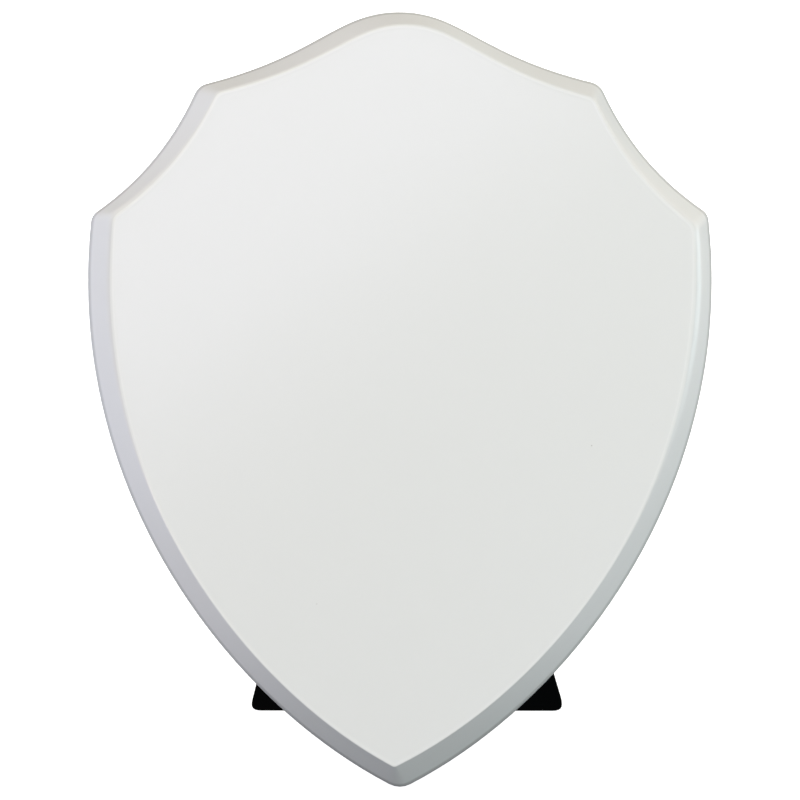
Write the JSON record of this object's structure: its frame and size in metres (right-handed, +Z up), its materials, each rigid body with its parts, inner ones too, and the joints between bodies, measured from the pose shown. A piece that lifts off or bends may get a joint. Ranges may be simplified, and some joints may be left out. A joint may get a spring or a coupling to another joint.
{
  "type": "award shield",
  "caption": "White lacquered heater shield with a humped top, pointed ears and a bevelled edge, leaning back on a folding easel strut.",
  "frame": {"origin": "on the ground, below the middle of the standing shield's bounding box", "axes": "+Z up; the front faces -Y; +X is to the right as seen from the front"},
  "size_m": [0.1634, 0.0706, 0.1977],
  "materials": {
    "white_lacquer": "high gloss white lacquer on a fibreboard blank",
    "black_plastic": "black moulded plastic with a fine grain",
    "steel": "bright zinc-plated steel"
  },
  "bodies": {
    "shield": {"shield": "white_lacquer", "hinge_plate": "black_plastic", "hinge_pin": "steel", "screw_left": "steel", "screw_right": "steel"},
    "strut": {"strut": "black_plastic"}
  },
  "joints": [
    {"name": "strut_fold", "type": "hinge", "parent": "shield", "child": "strut", "pos_m": [0, 0.00329, 0.09947], "axis": [-1, 0, 0], "range_deg": [0, 31]}
  ]
}
